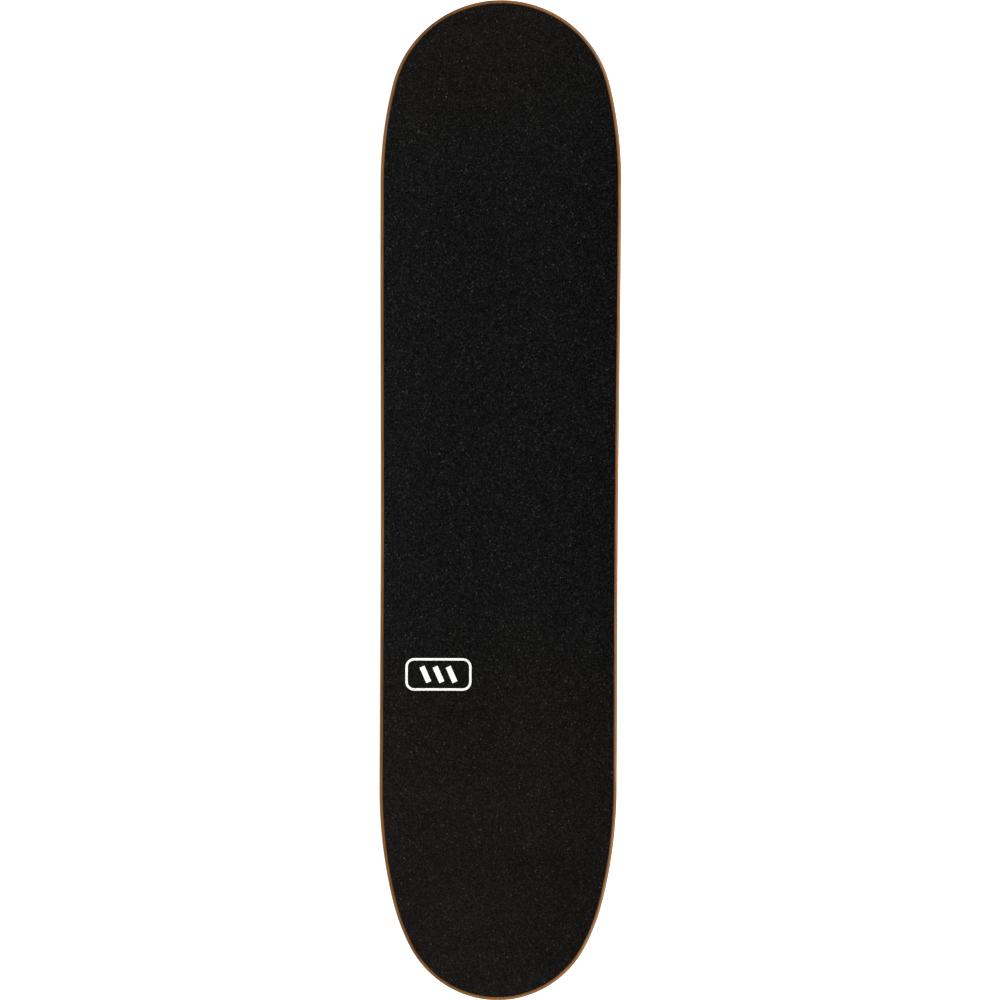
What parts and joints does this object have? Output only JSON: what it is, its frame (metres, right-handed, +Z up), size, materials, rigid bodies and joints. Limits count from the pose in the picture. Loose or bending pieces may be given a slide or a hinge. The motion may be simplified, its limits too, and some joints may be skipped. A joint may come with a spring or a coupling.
{
  "type": "skateboard",
  "caption": "Popsicle-shaped street skateboard: black gritty top sheet on a pressed maple deck with kicked ends, aluminium trucks, sealed bearings and white urethane wheels.",
  "frame": {"origin": "on the ground, under the middle of the overall length and width", "axes": "+X towards the nose, +Y to the left of a rider who faces the nose, +Z up"},
  "size_m": [0.7969, 0.1936, 0.1427],
  "materials": {
    "maple_veneer": "satin",
    "griptape": "matte",
    "cast_aluminium": "satin",
    "zinc_steel": "polished",
    "black_steel": "satin",
    "bearing_steel": "polished",
    "shield": "satin",
    "nylon": "matte",
    "urethane_bushing": "satin",
    "urethane_tyre": "satin"
  },
  "bodies": {
    "deck": {"ply_1": "maple_veneer", "ply_2": "maple_veneer", "ply_3": "maple_veneer", "ply_4": "maple_veneer", "ply_5": "maple_veneer", "ply_6": "maple_veneer", "ply_7": "maple_veneer", "grip_tape": "griptape", "deck_bolts": "black_steel", "deck_nuts": "black_steel", "front_baseplate": "cast_aluminium", "front_pivot_cup": "urethane_bushing", "front_kingpin": "zinc_steel", "front_kingpin_nut": "zinc_steel", "front_bottom_washer": "zinc_steel", "front_bottom_bushing": "urethane_bushing", "front_top_bushing": "urethane_bushing", "front_top_washer": "zinc_steel", "rear_baseplate": "cast_aluminium", "rear_pivot_cup": "urethane_bushing", "rear_kingpin": "zinc_steel", "rear_kingpin_nut": "zinc_steel", "rear_bottom_washer": "zinc_steel", "rear_bottom_bushing": "urethane_bushing", "rear_top_bushing": "urethane_bushing", "rear_top_washer": "zinc_steel"},
    "front_hanger": {"front_hanger": "cast_aluminium", "front_axle": "zinc_steel", "front_axle_nuts": "zinc_steel", "front_speed_washers": "zinc_steel", "front_bearing_spacers": "zinc_steel", "front_bearing_inner_rings": "bearing_steel"},
    "front_left_wheel": {"front_left_wheel": "urethane_tyre", "front_left_bearing_outer_rings": "bearing_steel", "front_left_bearing_shields": "shield"},
    "front_left_cages": {"front_left_bearing_balls": "bearing_steel", "front_left_bearing_cages": "nylon"},
    "front_right_wheel": {"front_right_wheel": "urethane_tyre", "front_right_bearing_outer_rings": "bearing_steel", "front_right_bearing_shields": "shield"},
    "front_right_cages": {"front_right_bearing_balls": "bearing_steel", "front_right_bearing_cages": "nylon"},
    "rear_hanger": {"rear_hanger": "cast_aluminium", "rear_axle": "zinc_steel", "rear_axle_nuts": "zinc_steel", "rear_speed_washers": "zinc_steel", "rear_bearing_spacers": "zinc_steel", "rear_bearing_inner_rings": "bearing_steel"},
    "rear_left_wheel": {"rear_left_wheel": "urethane_tyre", "rear_left_bearing_outer_rings": "bearing_steel", "rear_left_bearing_shields": "shield"},
    "rear_left_cages": {"rear_left_bearing_balls": "bearing_steel", "rear_left_bearing_cages": "nylon"},
    "rear_right_wheel": {"rear_right_wheel": "urethane_tyre", "rear_right_bearing_outer_rings": "bearing_steel", "rear_right_bearing_shields": "shield"},
    "rear_right_cages": {"rear_right_bearing_balls": "bearing_steel", "rear_right_bearing_cages": "nylon"}
  },
  "joints": [
    {"name": "front_truck_lean", "type": "hinge", "parent": "deck", "child": "front_hanger", "pos_m": [0.22579, 0, 0.0685], "axis": [-0.9264, 0, -0.3765], "range_deg": [-15, 15], "stiffness_Nm_per_rad": 40, "deforming": ["front_bottom_bushing", "front_top_bushing"]},
    {"name": "front_left_wheel_spin", "type": "hinge", "parent": "front_hanger", "child": "front_left_wheel", "pos_m": [0.19979, 0.0755, 0.026], "axis": [0, 1, 0], "continuous": true},
    {"name": "front_left_cages_spin", "type": "hinge", "parent": "front_hanger", "child": "front_left_cages", "pos_m": [0.19979, 0.0755, 0.026], "axis": [0, 1, 0], "continuous": true},
    {"name": "front_right_wheel_spin", "type": "hinge", "parent": "front_hanger", "child": "front_right_wheel", "pos_m": [0.19979, -0.0755, 0.026], "axis": [0, 1, 0], "continuous": true},
    {"name": "front_right_cages_spin", "type": "hinge", "parent": "front_hanger", "child": "front_right_cages", "pos_m": [0.19979, -0.0755, 0.026], "axis": [0, 1, 0], "continuous": true},
    {"name": "rear_truck_lean", "type": "hinge", "parent": "deck", "child": "rear_hanger", "pos_m": [-0.23579, 0, 0.0685], "axis": [0.9264, 0, -0.3765], "range_deg": [-15, 15], "stiffness_Nm_per_rad": 40, "deforming": ["rear_bottom_bushing", "rear_top_bushing"]},
    {"name": "rear_left_wheel_spin", "type": "hinge", "parent": "rear_hanger", "child": "rear_left_wheel", "pos_m": [-0.20979, 0.0755, 0.026], "axis": [0, 1, 0], "continuous": true},
    {"name": "rear_left_cages_spin", "type": "hinge", "parent": "rear_hanger", "child": "rear_left_cages", "pos_m": [-0.20979, 0.0755, 0.026], "axis": [0, 1, 0], "continuous": true},
    {"name": "rear_right_wheel_spin", "type": "hinge", "parent": "rear_hanger", "child": "rear_right_wheel", "pos_m": [-0.20979, -0.0755, 0.026], "axis": [0, 1, 0], "continuous": true},
    {"name": "rear_right_cages_spin", "type": "hinge", "parent": "rear_hanger", "child": "rear_right_cages", "pos_m": [-0.20979, -0.0755, 0.026], "axis": [0, 1, 0], "continuous": true}
  ],
  "couplings": [
    {"joint": "front_left_cages_spin", "follows": "front_left_wheel_spin", "ratio": 0.6323},
    {"joint": "front_right_cages_spin", "follows": "front_right_wheel_spin", "ratio": 0.6323},
    {"joint": "rear_left_cages_spin", "follows": "rear_left_wheel_spin", "ratio": 0.6323},
    {"joint": "rear_right_cages_spin", "follows": "rear_right_wheel_spin", "ratio": 0.6323}
  ]
}
